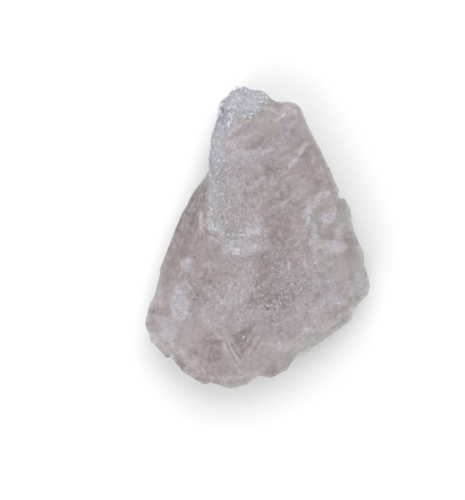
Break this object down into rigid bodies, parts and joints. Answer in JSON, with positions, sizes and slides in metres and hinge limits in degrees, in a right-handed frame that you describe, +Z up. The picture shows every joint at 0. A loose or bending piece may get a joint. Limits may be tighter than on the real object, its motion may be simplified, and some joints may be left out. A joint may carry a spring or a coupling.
{
  "type": "halite crystal",
  "caption": "Cleaved slab of natural halite, a milky, see-through rock salt crystal with flaked edges and a white crust on its narrow end.",
  "frame": {"origin": "centre of the bounding box seen from above, on the surface that the crystal rests on", "axes": "+Y along the slab's length towards the narrow end with the white crust, +Z up, square to the rest face"},
  "size_m": [0.0716, 0.0958, 0.0205],
  "materials": {
    "halite": "milky and see-through, satin on cleavage faces, white and rough where salt has grown"
  },
  "bodies": {
    "root": {"halite_crystal": "halite"}
  },
  "joints": []
}
